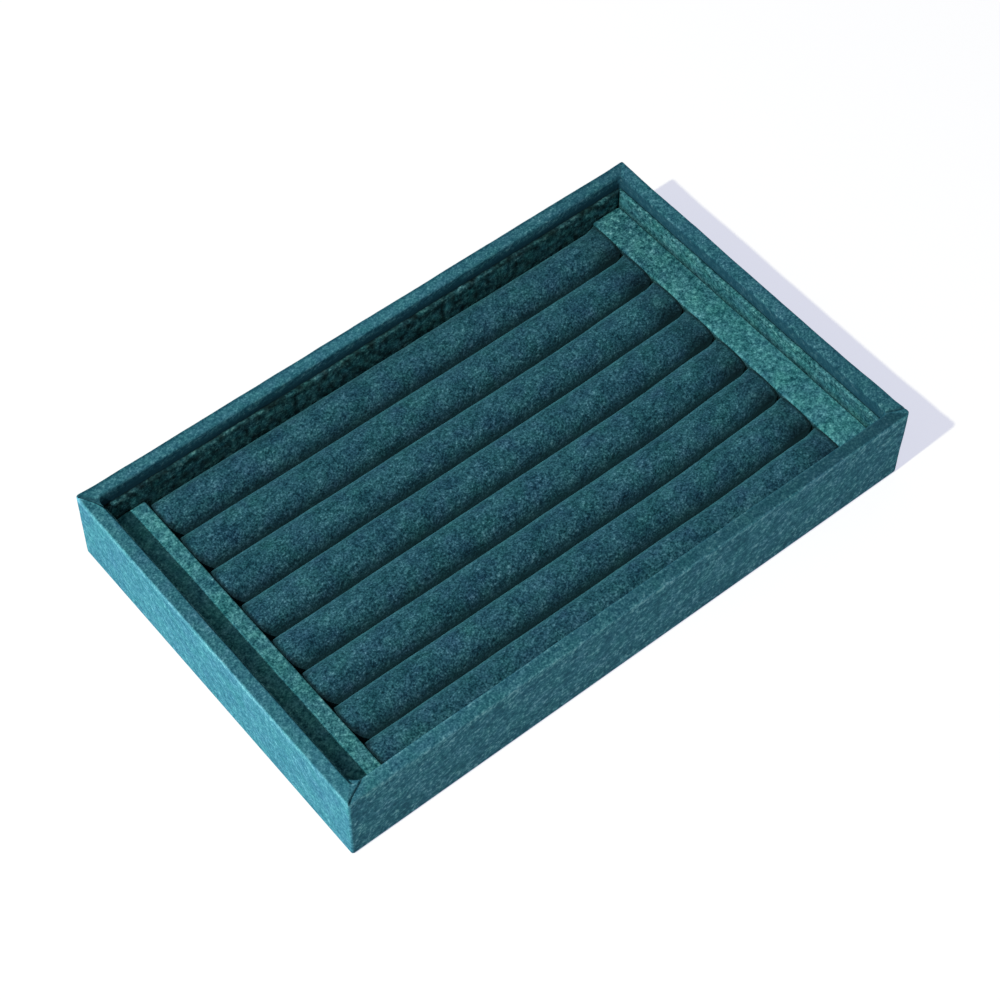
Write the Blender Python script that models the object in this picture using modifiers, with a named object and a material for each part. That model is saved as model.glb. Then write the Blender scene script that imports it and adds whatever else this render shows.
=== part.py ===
# Velvet display tray with a lift-out insert of padded rolls
#
# A shallow stackable tray. Four mitred fibreboard walls stand round a base board and
# are wrapped in velvet that runs up the outside, over the rim and down the inside. A
# lower lining stands inside the walls and leaves a step below the rim. The insert is a
# card that carries a row of padded rolls between two flat end pads, and it lifts
# straight out of the tray.
#
# Metres, +Z up, origin at the middle of the underside, X along the long side.

import math

import bmesh
import bpy
from mathutils import Matrix


# Tray size
tray_length = 0.240
tray_width = 0.150
tray_height = 0.0325

# Distance left between pieces that touch
seat_gap = 0.0003
mitre_gap = 0.0003

# Walls and their velvet
velvet_thickness = 0.0009
wall_board_thickness = 0.0028
wall_thickness = velvet_thickness + seat_gap + wall_board_thickness + seat_gap + velvet_thickness
corner_radius = 0.0016
rim_radius = 0.0012
foot_radius = 0.0005
fold_radius = 0.0003
board_edge_radius = 0.0004

# Base
underside_thickness = 0.0009
base_thickness = 0.0020
base_edge_radius = 0.0003

# Lining that stands inside the walls
lining_card_thickness = 0.0008
lining_velvet_thickness = 0.0006
lining_step = 0.0055
lining_edge_radius = 0.0005

# Insert
insert_clearance = 0.0005
insert_board_thickness = 0.0015
insert_edge_radius = 0.0003

# End pads
pad_width = 0.0131
pad_top_height = 0.0198
pad_velvet_thickness = 0.0008
pad_edge_radius = 0.0009
pad_block_radius = 0.0003

# Padded rolls
roll_count = 8
roll_crest_height = 0.0207
roll_arch_height = 0.0064
roll_gap = 0.0005
roll_width_step = 0.000145
roll_velvet_thickness = 0.0007
roll_end_radius = 0.0026
roll_fullness_power = 2.1

# Distance a cutter runs past the surface it opens
cut_overrun = 0.002

# Number of straight pieces that stand for a curve
corner_steps = 4
edge_steps = 3
arch_steps = 22
core_arch_steps = 14
end_steps = 4
core_end_steps = 2
smooth_angle = math.radians(35.0)
flat_angle = math.radians(0.5)

# Points closer than this are one point
merge_distance = 0.000002

# Size at which the two frames are drawn
empty_size = 0.02

# Heights and half sizes that follow from the values above
half_length = tray_length / 2
half_width = tray_width / 2
board_bottom = velvet_thickness + seat_gap
base_top = board_bottom + base_thickness
floor_height = base_top + seat_gap
lining_top = tray_height - lining_step
lining_face_depth = (wall_thickness + seat_gap + lining_card_thickness
                     + seat_gap + lining_velvet_thickness)
insert_half_length = half_length - lining_face_depth - insert_clearance
insert_half_width = half_width - lining_face_depth - insert_clearance
insert_board_top = floor_height + insert_board_thickness
padding_bottom = insert_board_top + seat_gap
roll_half_length = insert_half_length - pad_width - seat_gap

# Colours, linear
velvet_colour = (0.022, 0.122, 0.165)
velvet_inner_colour = (0.026, 0.135, 0.140)
velvet_roll_colour = (0.014, 0.082, 0.102)
fibreboard_colour = (0.40, 0.30, 0.19)
card_colour = (0.52, 0.47, 0.38)
foam_colour = (0.62, 0.60, 0.55)


def clear_scene():
    for item in list(bpy.data.objects):
        bpy.data.objects.remove(item, do_unlink=True)
    for group in list(bpy.data.collections):
        bpy.data.collections.remove(group)


def make_collection(name):
    group = bpy.data.collections.new(name)
    bpy.context.scene.collection.children.link(group)
    return group


def make_material(name, colour, roughness):
    material = bpy.data.materials.new(name)
    material.use_nodes = True
    shader = material.node_tree.nodes["Principled BSDF"]
    shader.inputs["Base Color"].default_value = (*colour, 1.0)
    shader.inputs["Roughness"].default_value = roughness
    shader.inputs["Metallic"].default_value = 0.0
    material.diffuse_color = (*colour, 1.0)
    return material


# Outline whose corners are rounded, each corner given as (across, up, radius)
def rounded_outline(corners, steps):
    points = []
    count = len(corners)
    for index in range(count):
        x, y, radius = corners[index]
        before = corners[index - 1]
        after = corners[(index + 1) % count]
        if radius <= 0.0:
            points.append((x, y))
            continue
        start = math.atan2(before[1] - y, before[0] - x)
        finish = math.atan2(after[1] - y, after[0] - x)
        turn = (finish - start + math.pi) % math.tau - math.pi
        half_turn = abs(turn) / 2
        reach = radius / math.tan(half_turn)
        middle = start + turn / 2
        to_centre = radius / math.sin(half_turn)
        centre_x = x + math.cos(middle) * to_centre
        centre_y = y + math.sin(middle) * to_centre
        first = math.atan2(y + math.sin(start) * reach - centre_y,
                           x + math.cos(start) * reach - centre_x)
        last = math.atan2(y + math.sin(finish) * reach - centre_y,
                          x + math.cos(finish) * reach - centre_x)
        sweep = (last - first + math.pi) % math.tau - math.pi
        for step in range(steps + 1):
            angle = first + sweep * step / steps
            points.append((centre_x + math.cos(angle) * radius,
                           centre_y + math.sin(angle) * radius))
    return points


# Solid made by pulling a closed outline through a depth, centred on its own plane
def pulled_mesh(name, outline, depth):
    curve = bpy.data.curves.new(name + "_outline", "CURVE")
    curve.dimensions = "2D"
    curve.fill_mode = "BOTH"
    curve.extrude = depth / 2
    spline = curve.splines.new("POLY")
    spline.points.add(len(outline) - 1)
    for point, (x, y) in zip(spline.points, outline):
        point.co = (x, y, 0.0, 1.0)
    spline.use_cyclic_u = True
    holder = bpy.data.objects.new(name + "_outline", curve)
    bpy.context.scene.collection.objects.link(holder)
    bpy.context.view_layer.update()
    evaluated = holder.evaluated_get(bpy.context.evaluated_depsgraph_get())
    mesh = bpy.data.meshes.new_from_object(evaluated)
    mesh.name = name
    bpy.data.objects.remove(holder, do_unlink=True)
    bpy.data.curves.remove(curve)
    work = bmesh.new()
    work.from_mesh(mesh)
    bmesh.ops.remove_doubles(work, verts=work.verts, dist=merge_distance)
    bmesh.ops.dissolve_limit(work, angle_limit=flat_angle, verts=work.verts, edges=work.edges)
    bmesh.ops.recalc_face_normals(work, faces=work.faces)
    work.to_mesh(mesh)
    work.free()
    return mesh


def add_object(name, mesh, group, material=None, parent=None):
    item = bpy.data.objects.new(name, mesh)
    group.objects.link(item)
    if material is not None:
        mesh.materials.clear()
        mesh.materials.append(material)
    if parent is not None:
        item.parent = parent
        item.matrix_parent_inverse = parent.matrix_world.inverted()
    mesh.shade_smooth()
    mesh.set_sharp_from_angle(angle=smooth_angle)
    return item


def add_cutter(name, mesh, group):
    item = add_object(name, mesh, group)
    item.hide_render = True
    item.display_type = "WIRE"
    return item


def cut(item, cutter, operation):
    modifier = item.modifiers.new(operation.lower(), "BOOLEAN")
    modifier.operation = operation
    modifier.solver = "EXACT"
    modifier.object = cutter


def box_mesh(name, size):
    work = bmesh.new()
    bmesh.ops.create_cube(work, size=1.0)
    bmesh.ops.scale(work, vec=size, verts=work.verts)
    mesh = bpy.data.meshes.new(name)
    work.to_mesh(mesh)
    work.free()
    return mesh


def round_edges(item, radius, steps):
    modifier = item.modifiers.new("rounding", "BEVEL")
    modifier.width = radius
    modifier.segments = steps
    modifier.limit_method = "WEIGHT"


# Marks the edges that the live bevel rounds, chosen by where their two ends are
def mark_edges(mesh, chosen):
    weights = mesh.attributes.new("bevel_weight_edge", "FLOAT", "EDGE")
    for edge in mesh.edges:
        first = mesh.vertices[edge.vertices[0]].co
        second = mesh.vertices[edge.vertices[1]].co
        if chosen(first, second):
            weights.data[edge.index].value = 1.0


# Plan of one mitred bar, outer edge on the line y = 0 and the tray behind it
def mitred_plan(half_run, depth):
    set_back = mitre_gap / math.sqrt(2)
    points = []
    for step in range(corner_steps):
        angle = math.radians(45.0) * step / corner_steps
        points.append((half_run - corner_radius + math.sin(angle) * corner_radius,
                       corner_radius - math.cos(angle) * corner_radius))
    corner_depth = corner_radius - math.cos(math.radians(45.0)) * corner_radius
    for inward in (corner_depth, depth):
        points.append((half_run - inward - set_back, inward))
    return points + [(-x, y) for x, y in reversed(points)]


# Turns a pulled solid so that its outline stands upright and its length lies along X
along_x = Matrix(((0, 0, 1, 0), (1, 0, 0, 0), (0, 1, 0, 0), (0, 0, 0, 1)))


# Section of the wall velvet: up the outside, over the rim, down the inside, turned under
def wall_velvet_section():
    inner = wall_thickness - velvet_thickness
    under_rim = tray_height - velvet_thickness
    return rounded_outline([
        (0.0, 0.0, foot_radius),
        (wall_thickness, 0.0, 0.0),
        (wall_thickness, velvet_thickness, 0.0),
        (velvet_thickness, velvet_thickness, 0.0),
        (velvet_thickness, under_rim, fold_radius),
        (inner, under_rim, fold_radius),
        (inner, floor_height, 0.0),
        (wall_thickness, floor_height, 0.0),
        (wall_thickness, tray_height, rim_radius),
        (0.0, tray_height, rim_radius),
    ], edge_steps)


def wall_board_section():
    near = velvet_thickness + seat_gap
    far = near + wall_board_thickness
    top = tray_height - velvet_thickness - seat_gap
    return rounded_outline([
        (near, board_bottom, 0.0),
        (far, board_bottom, 0.0),
        (far, top, board_edge_radius),
        (near, top, board_edge_radius),
    ], edge_steps)


def lining_card_section():
    near = wall_thickness + seat_gap
    far = near + lining_card_thickness
    top = lining_top - lining_velvet_thickness - seat_gap
    return [(near, floor_height), (far, floor_height), (far, top), (near, top)]


# Section of the lining velvet: down the inside face and over the top of its card
def lining_velvet_section():
    near = wall_thickness + seat_gap
    far = lining_face_depth
    behind = far - lining_velvet_thickness
    under_top = lining_top - lining_velvet_thickness
    return rounded_outline([
        (behind, floor_height, 0.0),
        (far, floor_height, 0.0),
        (far, lining_top, lining_edge_radius),
        (near, lining_top, fold_radius),
        (near, under_top, 0.0),
        (behind, under_top, 0.0),
    ], edge_steps)


# One side of the tray: four bars that share one mitred plan
def make_side(side, half_run, offset, turn, tray, group, cutters, looks):
    place = Matrix.Rotation(turn, 4, "Z") @ Matrix.Translation((0.0, -offset, 0.0))
    plan_depth = lining_face_depth + cut_overrun
    plan_height = tray_height + cut_overrun
    plan = pulled_mesh("mitre_" + side, mitred_plan(half_run, plan_depth), plan_height + cut_overrun)
    plan.transform(Matrix.Translation((0.0, 0.0, (plan_height - cut_overrun) / 2)))
    cutter = add_cutter("mitre_" + side, plan, cutters)
    cutter.matrix_world = place
    bars = (
        ("wall_board_" + side, wall_board_section(), looks["fibreboard"]),
        ("wall_velvet_" + side, wall_velvet_section(), looks["velvet"]),
        ("lining_card_" + side, lining_card_section(), looks["card"]),
        ("lining_velvet_" + side, lining_velvet_section(), looks["velvet_inner"]),
    )
    for name, section, look in bars:
        mesh = pulled_mesh(name, section, 2 * (half_run + cut_overrun))
        mesh.transform(along_x)
        bar = add_object(name, mesh, group, look, tray)
        bar.matrix_world = place
        cut(bar, cutter, "INTERSECT")


def make_base(tray, group, looks):
    inner_half_length = half_length - wall_thickness - seat_gap
    inner_half_width = half_width - wall_thickness - seat_gap
    panel = box_mesh("underside_panel", (2 * inner_half_length, 2 * inner_half_width,
                                         underside_thickness))
    panel_object = add_object("underside_panel", panel, group, looks["velvet_inner"], tray)
    panel_object.location = (0.0, 0.0, underside_thickness / 2)

    board_depth = velvet_thickness + seat_gap + wall_board_thickness + seat_gap
    board = box_mesh("base_board", (2 * (half_length - board_depth), 2 * (half_width - board_depth),
                                    base_thickness))
    mark_edges(board, lambda first, second: True)
    board_object = add_object("base_board", board, group, looks["fibreboard"], tray)
    board_object.location = (0.0, 0.0, board_bottom + base_thickness / 2)
    round_edges(board_object, base_edge_radius, edge_steps)


# Outline of a roll across its length: a full arch on straight sides
def roll_outline(half_across, crest, arch, bottom, steps):
    points = []
    spring = crest - arch
    power = 2 / roll_fullness_power
    for step in range(steps + 1):
        angle = math.pi * step / steps
        across = abs(math.cos(angle)) ** power
        across = math.copysign(across, math.cos(angle))
        points.append((across * half_across, spring + math.sin(angle) ** power * arch))
    points.append((-half_across, bottom))
    points.append((half_across, bottom))
    return points


# Solid roll whose ends are drawn down and rounded, standing on a flat underside
def roll_mesh(name, inset, half_across, bottom, steps):
    crest = roll_crest_height - inset
    arch = roll_arch_height - inset
    half_run = roll_half_length - inset
    outline = roll_outline(half_across - inset, crest, arch, bottom, steps)
    mesh = pulled_mesh(name, outline, 2 * half_run)
    mesh.transform(along_x)
    end_reach = half_run - merge_distance
    above = bottom + merge_distance

    def is_end(first, second):
        same_end = first.x * second.x > 0.0
        at_end = min(abs(first.x), abs(second.x)) > end_reach
        return same_end and at_end and max(first.z, second.z) > above

    mark_edges(mesh, is_end)
    return mesh


def make_roll(number, centre, across, insert, group, cutters, looks):
    half_across = across / 2
    name = "roll_velvet_" + str(number)
    cover_mesh = roll_mesh(name, 0.0, half_across, padding_bottom, arch_steps)
    cover = add_object(name, cover_mesh, group, looks["velvet_roll"], insert)
    cover.matrix_world = Matrix.Translation((0.0, centre, 0.0))
    round_edges(cover, roll_end_radius, end_steps)

    hollow_name = "roll_hollow_" + str(number)
    hollow_mesh = roll_mesh(hollow_name, roll_velvet_thickness, half_across,
                            padding_bottom - cut_overrun, core_arch_steps)
    hollow = add_cutter(hollow_name, hollow_mesh, cutters)
    hollow.location = (0.0, centre, 0.0)
    round_edges(hollow, roll_end_radius - roll_velvet_thickness, core_end_steps)
    cut(cover, hollow, "DIFFERENCE")

    core_name = "roll_core_" + str(number)
    core_inset = roll_velvet_thickness + seat_gap
    core_mesh = roll_mesh(core_name, core_inset, half_across, padding_bottom, core_arch_steps)
    core = add_object(core_name, core_mesh, group, looks["foam"], insert)
    core.matrix_world = Matrix.Translation((0.0, centre, 0.0))
    round_edges(core, roll_end_radius - core_inset, core_end_steps)


def make_rolls(insert, group, cutters, looks):
    span = 2 * insert_half_width - (roll_count - 1) * roll_gap
    mean_width = span / roll_count
    back_edge = insert_half_width
    for index in range(roll_count):
        from_middle = (roll_count - 1) / 2 - index
        width = mean_width + from_middle * roll_width_step
        make_roll(index + 1, back_edge - width / 2, width, insert, group, cutters, looks)
        back_edge = back_edge - width - roll_gap


def pad_box(name, inset, drop):
    top = pad_top_height - inset
    bottom = padding_bottom - drop
    mesh = box_mesh(name, (pad_width - 2 * inset, 2 * (insert_half_width - inset), top - bottom))
    mesh.transform(Matrix.Translation((0.0, 0.0, (top + bottom) / 2)))
    above = bottom + merge_distance
    mark_edges(mesh, lambda first, second: max(first.z, second.z) > above)
    return mesh


def make_pad(side, direction, insert, group, cutters, looks):
    place = Matrix.Translation((direction * (insert_half_length - pad_width / 2), 0.0, 0.0))
    name = "end_pad_velvet_" + side
    cover = add_object(name, pad_box(name, 0.0, 0.0), group, looks["velvet_inner"], insert)
    cover.matrix_world = place
    round_edges(cover, pad_edge_radius, edge_steps)

    hollow_name = "end_pad_hollow_" + side
    hollow = add_cutter(hollow_name, pad_box(hollow_name, pad_velvet_thickness, cut_overrun), cutters)
    hollow.matrix_world = place
    cut(cover, hollow, "DIFFERENCE")

    block_name = "end_pad_block_" + side
    block_mesh = pad_box(block_name, pad_velvet_thickness + seat_gap, 0.0)
    block = add_object(block_name, block_mesh, group, looks["fibreboard"], insert)
    block.matrix_world = place
    round_edges(block, pad_block_radius, edge_steps)


def make_insert_board(insert, group, looks):
    mesh = box_mesh("insert_board", (2 * insert_half_length, 2 * insert_half_width,
                                     insert_board_thickness))
    mark_edges(mesh, lambda first, second: True)
    board = add_object("insert_board", mesh, group, looks["card"], insert)
    board.matrix_world = Matrix.Translation((0.0, 0.0, floor_height + insert_board_thickness / 2))
    round_edges(board, insert_edge_radius, edge_steps)


def make_frame(name, group, height):
    empty = bpy.data.objects.new(name, None)
    empty.empty_display_size = empty_size
    group.objects.link(empty)
    empty.location = (0.0, 0.0, height)
    bpy.context.view_layer.update()
    return empty


clear_scene()
parts = make_collection("velvet_display_tray")
cutters = make_collection("cutters")
looks = {
    "velvet": make_material("velvet", velvet_colour, 0.92),
    "velvet_inner": make_material("velvet_inner", velvet_inner_colour, 0.92),
    "velvet_roll": make_material("velvet_roll", velvet_roll_colour, 0.94),
    "fibreboard": make_material("fibreboard", fibreboard_colour, 0.80),
    "card": make_material("card", card_colour, 0.85),
    "foam": make_material("foam", foam_colour, 0.95),
}

# The tray stands still and the insert lifts along its own upright axis
tray = make_frame("tray_origin", parts, 0.0)
insert = make_frame("insert_lift_axis", parts, floor_height)

make_base(tray, parts, looks)
make_side("front", half_length, half_width, 0.0, tray, parts, cutters, looks)
make_side("right", half_width, half_length, math.radians(90.0), tray, parts, cutters, looks)
make_side("back", half_length, half_width, math.radians(180.0), tray, parts, cutters, looks)
make_side("left", half_width, half_length, math.radians(-90.0), tray, parts, cutters, looks)
make_insert_board(insert, parts, looks)
make_pad("left", -1.0, insert, parts, cutters, looks)
make_pad("right", 1.0, insert, parts, cutters, looks)
make_rolls(insert, parts, cutters, looks)
bpy.context.view_layer.update()
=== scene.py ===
# %% [markdown]
# A velvet display tray with a lift-out insert
#
# The real tray is a shallow box of fibreboard wrapped in teal velvet. A lower velvet
# lining stands inside its walls, and an insert with eight padded rolls between two flat
# end pads lifts straight out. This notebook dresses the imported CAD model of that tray:
# the boards stay as they are, and the cloth is built here around them.
#
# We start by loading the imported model, which stays fixed. Its box is kept for the end,
# so that the finished tray can be measured against it.

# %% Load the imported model
import math

import bmesh
import bpy
from mathutils import Matrix, Vector, noise


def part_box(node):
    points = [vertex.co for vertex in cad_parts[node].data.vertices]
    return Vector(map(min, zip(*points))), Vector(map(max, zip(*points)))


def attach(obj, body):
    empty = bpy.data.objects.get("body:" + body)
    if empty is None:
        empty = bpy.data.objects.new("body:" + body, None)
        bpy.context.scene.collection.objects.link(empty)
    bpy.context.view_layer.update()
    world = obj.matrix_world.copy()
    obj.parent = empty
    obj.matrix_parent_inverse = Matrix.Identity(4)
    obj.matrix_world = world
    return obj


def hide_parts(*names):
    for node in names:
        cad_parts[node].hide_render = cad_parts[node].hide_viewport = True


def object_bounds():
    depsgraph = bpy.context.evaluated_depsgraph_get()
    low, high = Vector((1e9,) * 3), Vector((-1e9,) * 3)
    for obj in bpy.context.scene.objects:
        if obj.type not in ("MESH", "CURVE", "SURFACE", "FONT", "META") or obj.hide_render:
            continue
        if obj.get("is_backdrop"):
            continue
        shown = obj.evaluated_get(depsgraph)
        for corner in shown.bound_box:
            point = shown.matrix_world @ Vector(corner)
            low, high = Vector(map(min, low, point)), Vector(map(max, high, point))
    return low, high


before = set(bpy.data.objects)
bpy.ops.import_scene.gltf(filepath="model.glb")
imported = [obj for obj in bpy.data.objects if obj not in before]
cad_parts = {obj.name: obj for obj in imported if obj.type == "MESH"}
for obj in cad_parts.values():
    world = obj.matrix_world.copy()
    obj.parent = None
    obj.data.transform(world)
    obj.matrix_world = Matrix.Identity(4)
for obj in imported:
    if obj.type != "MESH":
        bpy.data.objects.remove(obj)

cad_low, cad_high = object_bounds()
mm = 0.001
quarter = math.radians(90.0)
cad_size = [round((high - low) / mm, 1) for low, high in zip(cad_low, cad_high)]
print("CAD box, mm:", cad_size)

# %% [markdown]
# Measures that come from the model
#
# Velvet follows whatever board it is glued to. So we read the sizes of the CAD pieces
# and build on them, and only name the few lengths that belong to the cloth itself.

# %% Measures of the tray
tray_half_length = cad_high.x
tray_half_width = cad_high.y
rim_height = cad_high.z
wall_low, wall_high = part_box("wall_velvet_front")
lining_low, lining_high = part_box("lining_velvet_front")
board_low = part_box("wall_board_front")[0]
pad_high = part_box("end_pad_velvet_left")[1]
wall_depth = wall_high.y - wall_low.y
lining_top = lining_high.z
lining_foot = lining_low.z
lining_near = lining_low.y - wall_low.y
lining_far = lining_high.y - wall_low.y
print("wall is", round(wall_depth / mm, 2), "mm thick")
print("lining top at", round(lining_top / mm, 2), "mm")

# %% [markdown]
# The camera
#
# The tray is seen from above one corner with a long lens, so its sides stay almost
# parallel. A camera can be turned by angles, but three directions are easier to check:
# where it looks, which way is right, and from the two of them which way is up.

# %% Camera
eye = Vector((-0.32845, -0.39989, 0.73262))
look = Vector((0.36909, 0.44759, -0.81451)).normalized()
right = Vector((0.77531, -0.63156, 0.00428)).normalized()
up = right.cross(look)
lens_mm = 93.04
sensor_mm = 36.0


def into_scene(name, data):
    item = bpy.data.objects.new(name, data)
    bpy.context.scene.collection.objects.link(item)
    return item


camera_data = bpy.data.cameras.new("camera")
camera_data.lens = lens_mm
camera_data.sensor_width = sensor_mm
camera_data.clip_start = 0.01
camera = into_scene("camera", camera_data)
turned = Matrix((right, up, -look)).transposed().to_4x4()
camera.matrix_world = Matrix.Translation(eye) @ turned
bpy.context.scene.camera = camera
bpy.context.scene.view_settings.view_transform = "Standard"
print("camera is", round(eye.length, 3), "m from the tray")

# %% [markdown]
# Small helpers for node materials
#
# Every material below is a small network of nodes. Writing each node and link out in
# full hides the idea, so one helper adds a node and plugs in what it is given: another
# node's output, or a plain number.

# %% Node helpers
def new_material(name):
    material = bpy.data.materials.new(name)
    material.use_nodes = True
    tree = material.node_tree
    shader = tree.nodes["Principled BSDF"]
    return material, tree, shader


def plug(tree, node, inputs):
    for key, value in inputs.items():
        if isinstance(value, bpy.types.NodeSocket):
            tree.links.new(value, node.inputs[key])
        else:
            node.inputs[key].default_value = value
    return node


def add(tree, kind, inputs=None, **settings):
    node = tree.nodes.new(kind)
    for key, value in settings.items():
        setattr(node, key, value)
    return plug(tree, node, inputs or {})


def maths(tree, operation, first, second=0.0):
    return add(tree, "ShaderNodeMath", {0: first, 1: second}, operation=operation).outputs[0]


def grain(tree, where, scale, detail=2.0, rough=0.5):
    inputs = {"Vector": where, "Scale": scale, "Detail": detail, "Roughness": rough}
    return add(tree, "ShaderNodeTexNoise", inputs).outputs["Fac"]


print("node helpers: new_material, plug, add, maths and grain")

# %% [markdown]
# A white floor that keeps the shadow
#
# The tray stands on a white sweep. To the tray the floor is plain white paper, which
# throws light back on to its sides. To the camera it is lifted to pure white, and only
# the shadow stays, in a pale violet grey. Light Path tells the two apart.

# %% Floor
floor_half_size = 3.0
floor_cells = 8
floor_drop = 0.2 * mm
paper_colour = (0.90, 0.90, 0.90, 1.0)
lifted_colour = (0.613, 0.625, 0.763, 1.0)
shaded_colour = (0.390, 0.378, 0.243, 1.0)
white = (1.0, 1.0, 1.0, 1.0)
shadow_reach = 0.45

floor_mesh = bpy.data.meshes.new("floor")
work = bmesh.new()
bmesh.ops.create_grid(work, x_segments=floor_cells, y_segments=floor_cells,
                      size=floor_half_size)
work.to_mesh(floor_mesh)
work.free()
floor = into_scene("floor", floor_mesh)
floor.location.z = -floor_drop
floor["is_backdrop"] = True

floor_material = bpy.data.materials.new("white_paper")
floor_material.use_nodes = True
tree = floor_material.node_tree
tree.nodes.clear()
path = add(tree, "ShaderNodeLightPath")
seen = maths(tree, "MAXIMUM", path.outputs["Is Camera Ray"], path.outputs["Is Glossy Ray"])
seen = maths(tree, "MAXIMUM", seen, path.outputs["Is Transmission Ray"])
place = add(tree, "ShaderNodeTexCoord").outputs["Object"]
away = add(tree, "ShaderNodeVectorMath", {0: place}, operation="LENGTH").outputs["Value"]
far = add(tree, "ShaderNodeMapRange", {"Value": away, "From Min": shadow_reach,
                                       "From Max": 2 * shadow_reach}).outputs["Result"]
paper = add(tree, "ShaderNodeBsdfDiffuse", {"Color": paper_colour}).outputs[0]
lifted = add(tree, "ShaderNodeEmission", {"Color": lifted_colour}).outputs[0]
shaded = add(tree, "ShaderNodeBsdfDiffuse", {"Color": shaded_colour}).outputs[0]
near_look = add(tree, "ShaderNodeAddShader", {0: lifted, 1: shaded}).outputs[0]
far_look = add(tree, "ShaderNodeEmission", {"Color": white}).outputs[0]
seen_look = add(tree, "ShaderNodeMixShader", {0: far, 1: near_look, 2: far_look}).outputs[0]
whole = add(tree, "ShaderNodeMixShader", {0: seen, 1: paper, 2: seen_look}).outputs[0]
add(tree, "ShaderNodeOutputMaterial", {"Surface": whole})
floor_mesh.materials.append(floor_material)
print("floor is", 2 * floor_half_size, "m across")

# %% [markdown]
# Light
#
# One small lamp at the left gives the crisp shadow beside the right wall and the shaded
# strip behind the left wall. An even pale sky fills in. Together they light a flat white
# sheet to white and no more, so colours come out as they are written.

# %% Lamp and sky
lamp_place = Vector((-2.06, -0.155, 2.40))
lamp_size = 0.085
lamp_watts = 110.0
sky_colour = (0.96, 0.99, 1.04, 1.0)
sky_strength = 0.26

lamp_data = bpy.data.lights.new("key_lamp", "AREA")
lamp_data.shape = "DISK"
lamp_data.size = lamp_size
lamp_data.energy = lamp_watts
lamp = into_scene("key_lamp", lamp_data)
lamp.location = lamp_place
lamp.rotation_mode = "QUATERNION"
lamp.rotation_quaternion = lamp_place.to_track_quat("Z", "Y")

world = bpy.context.scene.world or bpy.data.worlds.new("studio")
bpy.context.scene.world = world
world.use_nodes = True
tree = world.node_tree
tree.nodes.clear()
path = add(tree, "ShaderNodeLightPath")
sky = add(tree, "ShaderNodeBackground",
          {"Color": sky_colour, "Strength": sky_strength}).outputs[0]
backdrop = add(tree, "ShaderNodeBackground", {"Color": white}).outputs[0]
both = add(tree, "ShaderNodeMixShader",
           {0: path.outputs["Is Camera Ray"], 1: sky, 2: backdrop}).outputs[0]
add(tree, "ShaderNodeOutputWorld", {"Surface": both})
print("lamp is", round(lamp_place.length, 2), "m away")

# %% [markdown]
# Velvet: how light the pile is
#
# Velvet is a pile of short upright fibres. Seen from above we look down between them and
# it is dark, seen across them it is light, and wherever the pile leans another way the
# tone changes. A picture of cloth would repeat, so the tone is mixed from noise: fine pile
# and tufts, soft patches and clouds, and long strokes that follow the brushing. A tone of
# a half is plain. From there the colour rises or falls by a steady factor, as it does when
# light sinks deeper between fibres, and red changes faster than green and blue.

# %% Velvet tones
plain_tone = 0.5
tone_rise = (4.3, 2.8, 2.5)
tone_fall = (6.9, 3.6, 3.1)


def shade_of(colour, tone):
    reaches = tone_rise if tone > plain_tone else tone_fall
    return (*[value * math.exp(reach * (tone - plain_tone))
              for value, reach in zip(colour, reaches)], 1.0)


def painted(tree, name, output="Fac"):
    return add(tree, "ShaderNodeAttribute", attribute_name=name).outputs[output]


def leaning(tree, part, share):
    return maths(tree, "MULTIPLY", maths(tree, "SUBTRACT", part, 0.5), share)


print("a full tone multiplies red, green and blue by",
      [round(value, 1) for value in shade_of((1, 1, 1), 1.0)[:3]])

# %% Velvet grains
pile_scale = 1500.0
tuft_scale = 675.0
stroke_scale = 1300.0
patch_scale = 330.0
cloud_scale = 105.0
cloud_share = 0.22
flow_squeeze = (0.35, 1.0, 1.0)


def velvet_grains(tree, flow):
    place = add(tree, "ShaderNodeTexCoord").outputs["Object"]
    drawn = add(tree, "ShaderNodeMapping", {"Vector": flow, "Scale": flow_squeeze}).outputs[0]
    return {"pile": grain(tree, place, pile_scale, rough=0.6),
            "tuft": grain(tree, place, tuft_scale, detail=1.0),
            "patch": grain(tree, drawn, patch_scale),
            "cloud": grain(tree, place, cloud_scale),
            "stroke": grain(tree, drawn, stroke_scale, rough=0.6)}


def velvet_lean(tree, grains, shares):
    tone = 0.0
    for name in ("tuft", "patch", "cloud", "stroke"):
        tone = maths(tree, "ADD", leaning(tree, grains[name], shares[name]), tone)
    stirred = maths(tree, "SUBTRACT", 1.0, painted(tree, "calm"))
    tone = maths(tree, "MULTIPLY", tone, stirred)
    return maths(tree, "ADD", leaning(tree, grains["pile"], shares["pile"]), tone)


print("finest pile is about", round(1.0 / pile_scale / mm, 2), "mm")

# %% [markdown]
# Velvet: the finish
#
# Four more things change the velvet, and each is painted on the mesh point by point,
# where the shape is known. A painted light factor makes a wall, a slope or a strip lighter
# or darker as the lamp would, with a random mottle on the lining, and where it is strong
# it evens the tones out. Some edges get a painted highlight and others painted shade, with
# some random wear. Painted shade darkens creases, slots and the sides of the pads, where
# shade falls. Cloth drawn tight over the rim is calm: its patches and strokes show less.
# The colour is the tone, turned slightly in hue as dye takes unevenly, times the painted
# light and what the painted shade leaves. A short bump, a rough base and a sheen in the
# dye's own tint finish it.

# %% Velvet material
nap_evening = -0.8
most_evened = 1.2
wear_and_light_gain = 0.30
shade_strength = 0.68
least_unshaded = 0.05
dye_scale = 110.0
dye_drift = 0.11
dye_start = 0.442
fibre_share = 0.6
fibre_height = 0.32 * mm
velvet_rough = (0.82, 0.98)
velvet_specular = 0.07


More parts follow.
